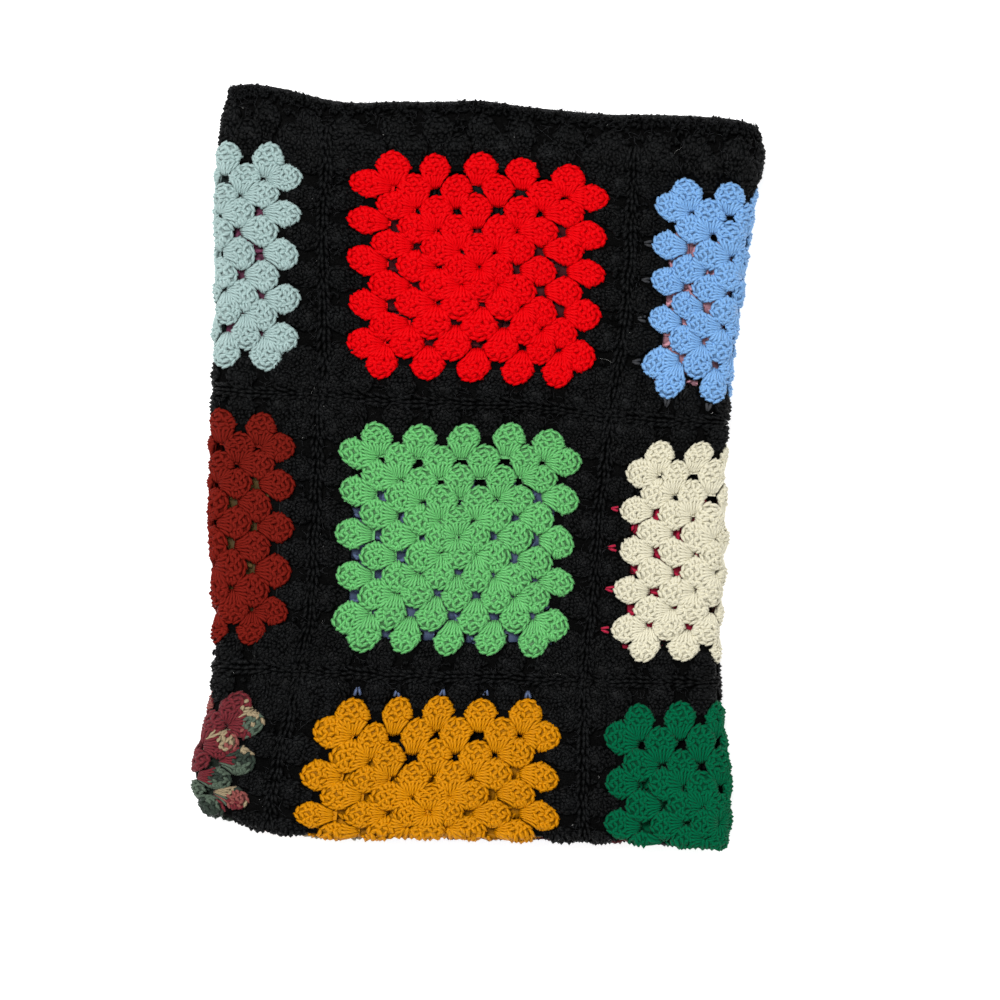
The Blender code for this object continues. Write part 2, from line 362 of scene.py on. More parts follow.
def row_shift(u, v):
    """How much further down the stitches are than in an even blanket."""
    knots, *shifts = zip(*ROW_SHIFTS)
    left, middle, right = (np.interp(v, knots, values) for values in shifts)
    column = np.clip((u - SIDE / 2) / COLUMN_SPACING, -1, 1)
    shift = middle * (1 - abs(column)) + left * np.maximum(-column, 0)
    return (shift + right * np.maximum(column, 0)) * MM


def drift(u, v):
    """How far the stitches at u and v have drifted."""
    shift_u, shift_v = np.zeros_like(u), np.zeros_like(v)
    for at_u, at_v, move_u, move_v, reach in sum(DRIFTS.values(), ()):
        away = ((u / MM - at_u) ** 2 + (v / MM - at_v) ** 2) / reach ** 2
        shift_u += move_u * MM * np.exp(-away)
        shift_v += move_v * MM * np.exp(-away)
    return shift_u, shift_v


def fold_flat(points):
    """Carry points (u, v, height) of the open blanket to their folded places."""
    u, v, height = points.T
    shift_u, shift_v = drift(u, v)
    u, v = u + shift_u, v + shift_v + row_shift(u, v)
    along = fold_in_half(v, 0.0)[0]
    return fold(across_place(u, along), v, height)


def sheet_centre():
    """How far the folded sheet would lie off the frame's box."""
    lines = np.linspace(0, SIDE, SAMPLE_LINES)
    grid = np.meshgrid(lines, lines, (THICKNESS / 2, -THICKNESS / 2))
    places = fold_flat(np.stack([values.ravel() for values in grid], axis=1))
    centre = (places.min(axis=0) + places.max(axis=0)) / 2 - np.mean(CAD_BOX, axis=0)
    centre[2] = 0.0
    return centre


CENTRE = sheet_centre()


# ---------------- strands of yarn

# starts: each face's first corner. corners: each corner's point. along_round: each corner's
# length along its strand and turn from its top. strands: the strand of each face.
Shape = namedtuple("Shape", "points starts corners along_round strands")
NEARLY_UP = (0.05, 0.02, 1.0)


def make_shape(points, totals, corners, along_round):
    """Make a shape of one strand. totals: how many corners each face has."""
    starts = np.concatenate([[0], np.cumsum(totals)[:-1]])
    return Shape(points, starts, np.array(corners), np.array(along_round),
                 np.zeros(len(totals), int))


def tube(line, radii, sides):
    """Make a closed strand along a line of x, y and z values, in millimetres."""
    points = np.stack(line, axis=1)
    tangent = np.gradient(points, axis=0)
    tangent /= np.linalg.norm(tangent, axis=1)[:, None]
    across = np.cross(tangent, NEARLY_UP)
    across /= np.linalg.norm(across, axis=1)[:, None]
    upward = np.cross(across, tangent)
    angle = math.pi / 2 + np.arange(sides) * 2 * math.pi / sides
    ring = (np.cos(angle)[None, :, None] * across[:, None, :]
            + np.sin(angle)[None, :, None] * upward[:, None, :])
    rings = points[:, None, :] + np.array(radii)[:, None, None] * ring
    steps = np.linalg.norm(np.diff(points, axis=0), axis=1)
    lengths = np.concatenate([[0.0], np.cumsum(steps)])
    corners, along_round = [], []
    for step, (low, high) in enumerate(zip(lengths[:-1], lengths[1:])):
        near, far = step * sides, (step + 1) * sides
        for side in range(sides):
            after = (side + 1) % sides
            turn, next_turn = side / sides, (side + 1) / sides
            corners += [near + side, far + side, far + after, near + after]
            along_round += [(low, turn), (high, turn), (high, next_turn), (low, next_turn)]
    last = (len(points) - 1) * sides
    corners += list(range(sides)) + list(range(last + sides - 1, last - 1, -1))
    along_round += [(0.0, 0.0)] * sides + [(lengths[-1], 0.0)] * sides
    return make_shape(rings.reshape(-1, 3), [4] * last + [sides, sides], corners, along_round)


def join_shapes(shapes):
    """Join several shapes into one."""
    parts = []
    point_count = corner_count = strand_count = 0
    for shape in shapes:
        parts.append(shape._replace(starts=shape.starts + corner_count,
                                    corners=shape.corners + point_count,
                                    strands=shape.strands + strand_count))
        point_count += len(shape.points)
        corner_count += len(shape.corners)
        strand_count += shape.strands.max() + 1
    return Shape(*(np.concatenate(part) for part in zip(*parts)))


# How finely a group is built: strands in its fan and in each row of its head, links of the chain
# round it, and sides of a strand.
Detail = namedtuple("Detail", "fan rows rim sides")
FULL = Detail(7, (5, 6, 5, 4), 8, 5)
LITE = Detail(4, (3, 2), 3, 4)
SPARE = Detail(3, (2, 1), 0, 4)
ROUGH = Detail(0, (), 7, 4)

# The chain round the top of a group, in millimetres from the hole it is worked into.
RIM = np.array([(-6.0, 7.4), (-7.6, 11.3), (-6.1, 14.8), (-3.9, 18.0), (0.1, 19.4), (4.1, 17.9),
                (6.2, 14.7), (7.5, 11.2), (5.9, 7.4)])
PADDING = np.array([(-7.4, 11.2), (-5.9, 14.7), (-3.4, 18.0), (3.6, 18.0), (6.1, 14.7),
                    (7.4, 11.2), (4.8, 5.4), (3.4, 0.8), (-3.4, 0.8), (-4.8, 5.4)])
# The padding's layers: how wide and how high each is, and how much it swells with the head. They
# narrow towards a point up the group.
PADDING_LAYERS = ((0.75, -1.2, 0.0), (1.1, -0.4, 0.15), (0.92, 0.7, 0.55), (0.58, 1.1, 0.7))
PADDING_POINT = 9.5
PADDING_BOTTOM = -1.3
PADDING_TOP = 3.0
# The padding's colour is painted as if all of it lay here on a strand, off its top: painted shade
# in the pits between strands.
SUNKEN = 0.22
GROUP_WIDTH = 1.04
HEAD_CENTRE = np.array((0.1, 12.6))
HEAD_REACH = np.array((11.5, 10.0))
HEAD_FOOT = 0.3
HEAD_TOP = 2.5
HEAD_BEGINS = 8.4
HEAD_ENDS = 16.2
HEAD_RADIUS = 1.42
HEAD_LENGTH = 4.9
HEAD_LEAN = 48
RIM_RADIUS = 1.25
RIM_OVERLAP = 1.2

# A fan strand's places along its length, its heights there, and its radii, which grow where a fan
# has fewer strands.
FAN_ALONG = np.array((0.0, 0.2, 0.6, 1.0))
FAN_HEIGHTS = np.array((-0.9, 0.6, 1.4, 2.0))
FAN_RADII = np.array((0.62, 0.74, 0.95, 1.05))
FAN_RADIUS_LIMIT = 1.7

# Three places along a short strand, how far it rises there, how deep its ends are sunk, and how
# thick they are as a share of its middle.
ALONG = np.array((-1.0, 0.0, 1.0))
RISE = 1 - ALONG ** 2
END_DEPTH = 0.65
END_RADIUS = 0.68

# A rough group's rows of short strands: how far up each is, and its count. Then the half widths
# at distances up the group.
ROUGH_ROWS = ((1.5, 3), (3.6, 3), (5.7, 4), (8.0, 5), (10.6, 6), (13.2, 5), (15.8, 4))
ROUGH_WIDTHS = ((0.0, 8.0, 12.0, 16.5), (2.6, 4.6, 6.4, 4.2))
ROUGH_RADIUS = 1.35
ROUGH_LENGTH = 3.6


def wobble(amount, *shape):
    """A small random number, or an array of them."""
    return random.uniform(-amount, amount, shape or None)


def dome(x, y):
    """How high a group's head stands, highest in its middle."""
    away = ((x - HEAD_CENTRE[0]) / HEAD_REACH[0]) ** 2 + ((y - HEAD_CENTRE[1]) / HEAD_REACH[1]) ** 2
    return HEAD_FOOT + (HEAD_TOP - HEAD_FOOT) * np.clip(1 - away, 0, 1)


def short_strand(middle, angle, length, radius, lift, sides):
    """A short strand of a head: it comes out of the work and goes back into it."""
    x = middle[0] + ALONG * length / 2 * math.cos(angle)
    y = middle[1] + ALONG * length / 2 * math.sin(angle)
    z = dome(x, y) + lift * RISE - END_DEPTH * (1 - RISE)
    return tube((x, y, z), radius * (END_RADIUS + (1 - END_RADIUS) * RISE), sides)


def fan_strand(place, detail):
    """One strand of the fan at the foot of a group. place runs from -1 to 1 across it."""
    begin = -0.4 + 0.7 * abs(place)
    end = 9.5 - 0.8 * place ** 2 + wobble(0.9)
    height = FAN_HEIGHTS + wobble(0.4)
    radii = np.minimum(FAN_RADII * FULL.fan / (detail.fan - 1), FAN_RADIUS_LIMIT)
    y = begin + FAN_ALONG * (end - begin)
    half_width = 3.1 + 3.3 * np.clip(y / 8, 0, 1.15) ** 1.9
    x = place * half_width + wobble(0.25, len(FAN_ALONG))
    return tube((x, y, height), radii, detail.sides)


def head_rows(detail):
    """Rows of short strands across a group's head, which lean to each other in pairs."""
    strands = []
    levels = np.linspace(HEAD_BEGINS, HEAD_ENDS, len(detail.rows))
    for row, (count, level) in enumerate(zip(detail.rows, levels)):
        part = (level - HEAD_BEGINS) / (HEAD_ENDS - HEAD_BEGINS)
        half_width = 6.0 + 1.4 * part - 3.4 * part ** 2
        bow = 1.0 - 2.4 * part
        for index, place in enumerate(np.linspace(-1, 1, count)):
            x = 0.1 + place * half_width + wobble(0.35)
            y = level + bow * place ** 2 + wobble(0.4)
            lean = HEAD_LEAN if (index + row) % 2 else -HEAD_LEAN
            angle = math.radians(90 + lean) - place * 0.3 + wobble(0.45)
            length = HEAD_LENGTH + wobble(0.7)
            lift = 0.5 + wobble(0.5)
            strands.append(short_strand((x, y), angle, length, HEAD_RADIUS, lift, detail.sides))
    return strands


def rim(detail):
    """Links of the chain round the top of a group."""
    steps = np.linspace(0, len(RIM) - 1, detail.rim + 1)
    stops = np.stack([np.interp(steps, np.arange(len(RIM)), RIM[:, side]) for side in (0, 1)],
                     axis=1)
    strands = []
    for start, end in zip(stops[:-1], stops[1:]):
        along = end - start
        length = np.linalg.norm(along) * RIM_OVERLAP
        middle = (start + end) / 2 + wobble(0.25, 2)
        angle = math.atan2(along[1], along[0]) + 0.25 + wobble(0.12)
        lift = 0.15 + wobble(0.35)
        strands.append(short_strand(middle, angle, length, RIM_RADIUS, lift, detail.sides))
    return strands


def padding():
    """The bulk of yarn under the strands of a group."""
    points = [(0.0, PADDING_POINT, PADDING_BOTTOM)]
    for scale, height, swelling in PADDING_LAYERS:
        for x, y in PADDING * scale + (0, PADDING_POINT * (1 - scale)):
            head = ease((y - 6.0) / 4.0)
            points.append((x, y, height + swelling * dome(x, y) * head))
    points.append((*HEAD_CENTRE, PADDING_TOP))
    count = len(PADDING)
    last = 1 + (len(PADDING_LAYERS) - 1) * count
    corners = []
    for index in range(count):
        after = (index + 1) % count
        corners += [0, 1 + index, 1 + after]
        for low in range(1, last, count):
            high = low + count
            corners += [low + index, high + index, high + after, low + after]
        corners += [last + index, len(points) - 1, last + after]
    totals = ([3] + [4] * (len(PADDING_LAYERS) - 1) + [3]) * count
    return make_shape(np.array(points), totals, corners, np.full((len(corners), 2), SUNKEN))


def treble_group(detail):
    """A group of three trebles, from the hole at (0, 0) to its tip up the y axis."""
    strands = [fan_strand(place, detail) for place in np.linspace(-1, 1, detail.fan)]
    group = join_shapes([padding()] + strands + head_rows(detail) + rim(detail))
    return group._replace(points=group.points * (GROUP_WIDTH, 1.0, 1.0))


def rough_group():
    """A group in fluffy yarn: its fan hardly shows, and short strands cover it."""
    strands = []
    for level, count in ROUGH_ROWS:
        half_width = np.interp(level, *ROUGH_WIDTHS)
        for place in np.linspace(-1, 1, count):
            middle = (place * half_width + wobble(0.7), level + wobble(0.7))
            lift = 0.5 + wobble(0.4)
            strands.append(short_strand(middle, wobble(math.pi), ROUGH_LENGTH, ROUGH_RADIUS, lift,
                                        ROUGH.sides))
    return join_shapes([padding()] + strands + rim(ROUGH))


def seam_stitch():
    """A stitch of a join: three strands, of which the outer ones lean."""
    strands = []
    for side in (-1, 0, 1):
        x = side * (2.4 - 0.7 * ALONG) + wobble(0.5)
        y = ALONG * 2.5 + wobble(0.8)
        z = 1.7 + 0.5 * RISE + wobble(0.4)
        strands.append(tube((x, y, z), (0.95, 1.3, 0.95), 4))
    return join_shapes(strands)


def knot():
    """A small tangle of short strands, which fills the black yarn out."""
    strands = []
    for _ in range(3):
        angle = wobble(math.pi)
        middle = wobble(1.1, 2)
        length = 1.5 + wobble(0.3)
        x = middle[0] + ALONG * length * math.cos(angle)
        y = middle[1] + ALONG * length * math.sin(angle)
        z = 1.4 + wobble(0.5) + 0.7 * RISE
        strands.append(tube((x, y, z), (0.55, 0.85, 0.55), 4))
    return join_shapes(strands)


def glimpse():
    """Two short strands side by side, as a gap shows of a loop below it."""
    strands = []
    for side in (-1, 1):
        x = side * (0.9 - 0.5 * ALONG) + wobble(0.3)
        y = ALONG * 2.2 + wobble(0.5)
        strands.append(tube((x, y, 1.2 + 0.5 * RISE), (0.9, 0.9, 0.5), 4))
    return join_shapes(strands)


def hair(length, radius):
    """A stray fibre that curls up from the work."""
    part = np.linspace(0, 1, 5)
    bend = wobble(0.7)
    x = length * (part - 0.5)
    y = length * bend * (part ** 2 - 0.4) + wobble(0.12 * length, 5)
    z = 1.6 + (1.0 + wobble(0.5)) * np.sin(part * math.pi) + wobble(0.2, 5)
    return tube((x, y, z), np.full(5, radius), 3)


# ---------------- laying out the squares

# A place for a shape on the open blanket: its origin, where its y axis points (0 is the top edge,
# a quarter turn is right), how far its tip leans, its length as a share, and its yarn.
Place = namedtuple("Place", "u v turn lean length yarn", defaults=(0.0, 1.0, "black"))

# The border's groups along one edge, and how far their tips are from it, in millimetres.
BORDER_GROUPS = 7 * SQUARES_A_SIDE
BORDER_TIP = 6.5
# The rows of knots along the top edge, and the stitches of a join for each square.
EDGING_INSETS = (2.0 * MM, 4.8 * MM)
EDGING_KNOTS = 250
SEAM_STITCHES = 38

# By how much laid shapes differ: shares of their width, length and height, how far they lean,
# their turn in radians, and their place, in millimetres.
Spread = namedtuple("Spread", "width length height lean turn place")
SPREAD = Spread(0.05, 0.04, 0.12, 0.9, 0.08, 0.6)


def turned(x, out, turn):
    """Steps in u and v for one aside and one out towards the turn, or the other way about."""
    return x * math.cos(turn) + out * math.sin(turn), x * math.sin(turn) - out * math.cos(turn)


def place_in_square(row, column, x, out, turn, **kind):
    """A place aside and out from a square's middle, in millimetres."""
    across, down = turned(x, out, turn)
    return Place(BORDER + (column + 0.5) * SQUARE + across * MM,
                 BORDER + (row + 0.5) * SQUARE + down * MM, turn, **kind)


def groups_of_square(row, column):
    """Places of a square's treble groups, round by round."""
    places = []
    for count in range(1, ROUNDS + 1):
        tip = FIRST_ROUND_TIP + (count - 1) * ROUND_DEPTH
        foot = tip - GROUP_LENGTH if count > 1 else FIRST_ROUND_FOOT
        length = (tip - foot) / GROUP_LENGTH
        yarn = "black" if count > COLOUR_ROUNDS else SQUARE_YARNS[row][column]
        for side in range(4):
            for index in range(count):
                x_tip = (index - (count - 1) / 2) * GROUP_PITCH[count - 1]
                x_foot = x_tip
                if count > 1 and index in (0, count - 1):
                    x_foot = math.copysign(tip - CORNER_HOLE_BACK, x_tip)
                places.append(place_in_square(row, column, x_foot, foot, side * math.pi / 2,
                                              lean=x_tip - x_foot, length=length, yarn=yarn))
    return places


def corner_fillers(row, column):
    """Places of the loops at a square's corners, which fill it out to the joins."""
    return [place_in_square(row, column, 0.0, FILLER_FOOT * math.sqrt(2),
                            (corner + 0.5) * math.pi / 2, length=1.1) for corner in range(4)]


def border_groups(side):
    """Places of the border's treble groups along one edge of the blanket."""
    row = column = SQUARES_A_SIDE // 2
    foot = SIDE / MM / 2 - BORDER_TIP - GROUP_LENGTH
    pitch = SQUARES_A_SIDE * SQUARE / MM / BORDER_GROUPS
    return [place_in_square(row, column, (index - (BORDER_GROUPS - 1) / 2) * pitch, foot,
                            side * math.pi / 2) for index in range(BORDER_GROUPS)]


def all_groups():
    """Places of every treble group of the blanket."""
    places = []
    for row, column in SQUARES:
        places += groups_of_square(row, column) + corner_fillers(row, column)
    for side in range(4):
        places += border_groups(side)
    return places


ALL_GROUPS = all_groups()


def seam_places():
    """Places of the stitches along every join between squares."""
    places = []
    for line in range(1, SQUARES_A_SIDE):
        fixed = BORDER + line * SQUARE
        for index in range(SEAM_STITCHES * SQUARES_A_SIDE):
            moving = BORDER + (index + 0.5) * SQUARE / SEAM_STITCHES
            places += [Place(fixed, moving, 0.0), Place(moving, fixed, math.pi / 2)]
    return places


def edging_places():
    """Places of the rows of small knots along the top edge."""
    return [Place((index + 0.5 * row) / EDGING_KNOTS * SIDE, inset, wobble(math.pi))
            for row, inset in enumerate(EDGING_INSETS) for index in range(EDGING_KNOTS)]


def lay(shape_set, places, side):
    """Put a shape at each place on the cloth, with small differences from one to the next.

    side is 1 on the cloth's front and -1 on its back.
    """
    laid = []
    for place in places:
        shape = shape_set[random.integers(len(shape_set))]
        x, y, height = shape.points.T
        x = x * (side * (1 + wobble(SPREAD.width)))
        y = y * (place.length * (1 + wobble(SPREAD.length)))
        height = height * (side * (1 + wobble(SPREAD.height)))
        x = x + (place.lean + wobble(SPREAD.lean)) * np.clip(y / GROUP_LENGTH, 0, 1)
        turn = place.turn + wobble(SPREAD.turn)
        across, down = turned(x + wobble(SPREAD.place), y + wobble(SPREAD.place), turn)
        points = np.stack([place.u + across * MM, place.v + down * MM, height * MM], axis=1)
        laid.append(shape._replace(points=points))
    return join_shapes(laid)


# ---------------- meshes

# How far stitches may reach beyond the cloth's edge.
OVERHANG = 1.5 * MM
YARN_NAMES = list(YARNS)


def mesh_object(name, shape, face_material, materials):
    """Make a smooth mesh object of a laid shape, kept to the sheet and folded."""
    points = shape.points.copy()
    points[:, :2] = np.clip(points[:, :2], -OVERHANG, SIDE + OVERHANG)
    places = fold_flat(points) - CENTRE
    places[:, 2] = np.maximum(places[:, 2], 0.0)
    mesh = bpy.data.meshes.new(name)
    mesh.vertices.add(len(places))
    mesh.vertices.foreach_set("co", places.astype(np.float32).ravel())
    mesh.loops.add(len(shape.corners))
    mesh.loops.foreach_set("vertex_index", shape.corners.astype(np.int32))
    mesh.polygons.add(len(shape.starts))
    mesh.polygons.foreach_set("loop_start", shape.starts.astype(np.int32))
    mesh.polygons.foreach_set("material_index", face_material.astype(np.int32))
    strand = mesh.uv_layers.new(name="strand")
    strand.data.foreach_set("uv", shape.along_round.astype(np.float32).ravel())
    for material in materials:
        mesh.materials.append(material)
    mesh.update(calc_edges=True)
    mesh.shade_smooth()
    made = bpy.data.objects.new(name, mesh)
    bpy.context.scene.collection.objects.link(made)
    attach(made, "root")
    return made


def distance_to_run(places, u, v, end_u, end_v):
    """How far places are from a run of dyed yarn, in millimetres."""
    start = np.array((u, v), dtype=float)
    along = np.array((end_u, end_v)) - start
    part = np.clip((places - start) @ along / (along @ along), 0, 1)
    return np.linalg.norm(places - start - part[:, None] * along, axis=1)


def mixed_dyes(shape):
    """The dye of each face of a shape in variegated yarn. Each strand has one dye."""
    places = shape.points[shape.corners[shape.starts], :2] / MM
    faces = np.bincount(shape.strands)
    middles = np.stack([np.bincount(shape.strands, places[:, side]) / faces for side in (0, 1)],
                       axis=1)
    middles[:, 0] = DYE_FOLD + abs(middles[:, 0] - DYE_FOLD)
    middles += random.normal(0, DYE_SPREAD, middles.shape)
    runs = [(dye, run) for dye, runs in DYED_RUNS.items() for run in runs]
    nearest = np.argmin([distance_to_run(middles, *run) for _, run in runs], axis=0)
    dyes = np.array([YARN_NAMES.index(dye) for dye, _ in runs])
    return dyes[nearest][shape.strands]


def face_yarns(shape, yarn):
    """The yarn of each face of a laid shape, as an index."""
    if yarn == "variegated":
        return mixed_dyes(shape)
    return np.full(len(shape.starts), YARN_NAMES.index(yarn))


def yarn_object(name, laid):
    """Make an object of laid shapes, each given with its yarn."""
    index = np.concatenate([face_yarns(shape, yarn) for shape, yarn in laid])
    used, slots = np.unique(index, return_inverse=True)
    materials = [MATERIALS[YARN_NAMES[number]] for number in used]
    return mesh_object(name, join_shapes([shape for shape, _ in laid]), slots.ravel(), materials)


# ---------------- materials

# Plies round and along a strand, which shape its bump and are painted lighter on their crests and
# darker in their grooves; the noise scales of fibres, uneven dye, and the black yarn's grain and
# lumps; and how sharply a strand's top is painted lighter than its sides, as painted light and
# shade.
PLY_COUNT = 3
PLY_TWISTS = 0.3
FIBRE_SCALE = 1500.0
DYE_SCALE = 45.0
GRAIN_SCALE = 1400.0
LUMP_SCALE = 110.0
RIDGE_POWER = 3.5
ROUGHNESS = 0.52
SHEEN_ROUGHNESS = 0.5
BUMP_STRENGTH = 0.8
BUMP_HEIGHT = 0.3 * MM
NOISE_ROUGHNESS = 0.6
DARKEST = 0.04


def srgb_to_linear(value):
    """Turn an sRGB value of 0 to 255 into a linear one of 0 to 1."""
    value /= 255
    return value / 12.92 if value <= 0.04045 else ((value + 0.055) / 1.055) ** 2.4


def set_inputs(node, values):
    """Set a node's inputs by name."""
    for name, value in values.items():
        node.inputs[name].default_value = value


def add_node(tree, kind, **values):
    """Add a node and set its properties."""
    node = tree.nodes.new(kind)
    for key, value in values.items():
        setattr(node, key, value)
    return node


def math_node(tree, operation, *values):
    """Add a Math node, whose inputs are sockets or numbers."""
    node = add_node(tree, "ShaderNodeMath", operation=operation)
    for socket, value in zip(node.inputs, values):
        if hasattr(value, "is_linked"):
            tree.links.new(value, socket)
        else:
            socket.default_value = value
    return node.outputs[0]


def scaled(tree, value, factor, added):
    """Multiply a value and add to it."""
    return math_node(tree, "MULTIPLY_ADD", value, factor, added)


def strand_values(tree):
    """How high the twisted plies are, and how near its strand's top a place is."""
    strand = add_node(tree, "ShaderNodeUVMap", uv_map="strand")
    parts = add_node(tree, "ShaderNodeSeparateXYZ")
    tree.links.new(strand.outputs["UV"], parts.inputs[0])
    length, turn = parts.outputs["X"], parts.outputs["Y"]
    cosine = math_node(tree, "COSINE", math_node(tree, "MULTIPLY", turn, 2.0 * math.pi))
    twist = math_node(tree, "MULTIPLY", length, PLY_TWISTS * math.pi)
    sine = math_node(tree, "SINE", scaled(tree, turn, PLY_COUNT * math.pi, twist))
    return math_node(tree, "ABSOLUTE", sine), scaled(tree, cosine, 0.5, 0.5)


def noise(tree, scale, detail=2.0):
    """A noise texture in the frame's own space."""
    place = add_node(tree, "ShaderNodeTexCoord")
    made = add_node(tree, "ShaderNodeTexNoise")
    set_inputs(made, {"Scale": scale, "Detail": detail, "Roughness": NOISE_ROUGHNESS})
    tree.links.new(place.outputs["Object"], made.inputs["Vector"])
    return made.outputs["Fac"]


def yarn_shade(tree, name, ply, top, fibres):
    """How light the yarn is painted from place to place, as a share of its colour.

    Painted light on a strand's top and painted shade at its sides, in the grooves between plies and
    in the padding's pits, with random unevenness of fibres and dye. Black yarn gets random grain
    and lumps only.
    """
    if name.startswith("black"):
        grain = scaled(tree, noise(tree, GRAIN_SCALE, 3.0), 5.0, -2.0)
        grain = math_node(tree, "MAXIMUM", grain, 0.05)
        grain = math_node(tree, "POWER", grain, 2.0)
        grain = scaled(tree, grain, 1.2, 0.25)
        lumps = scaled(tree, noise(tree, LUMP_SCALE), 3.0, -0.5)
        return math_node(tree, "MULTIPLY", grain, lumps)
    depth = YARNS[name].depth
    ridge = math_node(tree, "POWER", top, RIDGE_POWER)
    shade = scaled(tree, ridge, 0.8 * depth, 1.0 - 0.83 * depth)
    for value, share in ((ply, 0.3), (fibres, 0.4), (noise(tree, DYE_SCALE), 0.25)):
        shade = scaled(tree, value, share * depth, shade)
    return math_node(tree, "MAXIMUM", shade, DARKEST)


def yarn_material(name, yarn):
    """Twisted yarn: plies, fine fibres and slightly uneven dye.

    Its colour carries painted light on strand tops and painted shade at their sides and in ply
    grooves.
    """
    material = bpy.data.materials.new("yarn_" + name)
    material.use_nodes = True
    tree = material.node_tree
    shader = tree.nodes["Principled BSDF"]
    base = [srgb_to_linear(value) for value in yarn[:3]]
    ply, top = strand_values(tree)
    fibres = noise(tree, FIBRE_SCALE, 3.0)
    mix = add_node(tree, "ShaderNodeMix", data_type="RGBA", blend_type="MIX", clamp_factor=False)
    set_inputs(mix, {"A": (0.0, 0.0, 0.0, 1.0), "B": (*base, 1.0)})
    tree.links.new(yarn_shade(tree, name, ply, top, fibres), mix.inputs["Factor"])
    tree.links.new(mix.outputs["Result"], shader.inputs["Base Color"])
    bump = add_node(tree, "ShaderNodeBump")
    set_inputs(bump, {"Strength": BUMP_STRENGTH, "Distance": BUMP_HEIGHT})
    tree.links.new(scaled(tree, fibres, 0.7, ply), bump.inputs["Height"])
    tree.links.new(bump.outputs["Normal"], shader.inputs["Normal"])
    tint = [0.5 + 0.5 * value for value in base]
    set_inputs(shader, {"Roughness": ROUGHNESS, "Specular IOR Level": yarn.shine,
                        "Sheen Weight": yarn.fuzz, "Sheen Roughness": SHEEN_ROUGHNESS,
                        "Sheen Tint": (*tint, 1.0)})
    return material


MATERIALS = {name: yarn_material(name, yarn) for name, yarn in YARNS.items()}


# ---------------- the blanket's pieces

# How much of a side fold is seen from above, where groups count as the rim, and how far in from
# the left fold they show from below.
SEEN_OF_FOLD = 0.8
UPPER_ENDS = UPPER_LENGTH + 0.6 * HALF_FOLD_LENGTH
RIM_ENDS = UPPER_LENGTH + HALF_FOLD_LENGTH + 6 * MM
EDGE_RIM = 26 * MM
FOLD_RIM = 16 * MM
UNDER_REACH = 75 * MM


def where_on_fold(u, v):
    """The place across the unfolded sheet, and the face's two ends there."""
    along = fold_in_half(v, 0.0)[0]
    return across_place(u, along), *face_limits(along)


def beyond_folds(across, begin, end, share):
    """Whether a place across is further round a side fold than a share of it."""
    return ((across < begin - share * LEFT_FOLD_LENGTH)
            | (across > end + share * RIGHT_FOLD_LENGTH))


def zone(place):
    """Say which part of the folded blanket a group is on.

    face: seen from above. lower: right below it, seen through its holes. under: seen from
    below. rim: near the half fold or the open edges. hidden: between the layers.
    """
    u = place.u + GROUP_LENGTH / 2 * MM * math.sin(place.turn)
    v = place.v - GROUP_LENGTH / 2 * MM * math.cos(place.turn)
    across, begin, end = where_on_fold(u, v)
    if not beyond_folds(across, begin, end, SEEN_OF_FOLD):
        if v < UPPER_ENDS:
            return "face"
        if v < RIM_ENDS:
            return "rim"
        return "lower" if begin < across < end else "hidden"
    if v < EDGE_RIM or abs(v - UPPER_LENGTH - HALF_FOLD_LENGTH / 2) < FOLD_RIM:
        return "rim"
    shows = across > end or begin - LEFT_FOLD_LENGTH - across < UNDER_REACH
    return "under" if v < UPPER_ENDS and shows else "hidden"


FULL_GROUPS = [treble_group(FULL) for _ in range(6)]
ROUGH_GROUPS = [rough_group() for _ in range(6)]
LITE_GROUPS = [treble_group(LITE) for _ in range(4)]
SPARE_GROUPS = [treble_group(SPARE) for _ in range(4)]

# How the groups are built in each zone, coloured and black, and on which side of the cloth.
Part = namedtuple("Part", "zone coloured black side")
PARTS = (
    Part("face", FULL_GROUPS, ROUGH_GROUPS, 1),
    Part("rim", LITE_GROUPS, LITE_GROUPS, 1),
    Part("under", SPARE_GROUPS, SPARE_GROUPS, 1),
    Part("lower", SPARE_GROUPS, SPARE_GROUPS, -1),
)


def in_zone(places, wanted):
    """The places in one zone."""
    return [place for place in places if zone(place) == wanted]


def lay_by_yarn(shapes, places, side=1):
    """Lay shapes yarn by yarn. Gives each laid shape with its yarn."""
    return [(lay(shapes, [place for place in places if place.yarn == yarn], side), yarn)
            for yarn in sorted({place.yarn for place in places})]


def make_square(row, column):
    """Make a square's coloured rounds, in as much detail as is seen of them."""
    coloured = [place for place in groups_of_square(row, column) if place.yarn != "black"]
    laid = []
    for part in PARTS:
        laid += lay_by_yarn(part.coloured, in_zone(coloured, part.zone), part.side)
    return yarn_object(f"square_{row + 1}_{column + 1}", laid) if laid else None


def make_black_rounds():
    """Make the black rounds, the corner loops and the border, part by part."""
    black = [place for place in ALL_GROUPS if place.yarn == "black"]
    return [yarn_object("black_" + part.zone,
                        lay_by_yarn(part.black, in_zone(black, part.zone), part.side))
            for part in PARTS]


def make_joins():
    """Make the stitches of the joins that show."""
    stitches = [seam_stitch() for _ in range(8)]
    return yarn_object("joins", lay_by_yarn(stitches, in_zone(seam_places(), "face")))


# The part of the open blanket, across, that the face lies in.
FACE_U = (0.245, 0.612)
# Bands of v, and how many knots lie in them.
ALL_OVER = (4 * MM, UPPER_LENGTH + HALF_FOLD_LENGTH)
TOP_EDGE = (0 * MM, 2.5 * MM)
TOP_BORDER = (3 * MM, 27 * MM)
KNOTS = 950
BORDER_KNOTS = 150
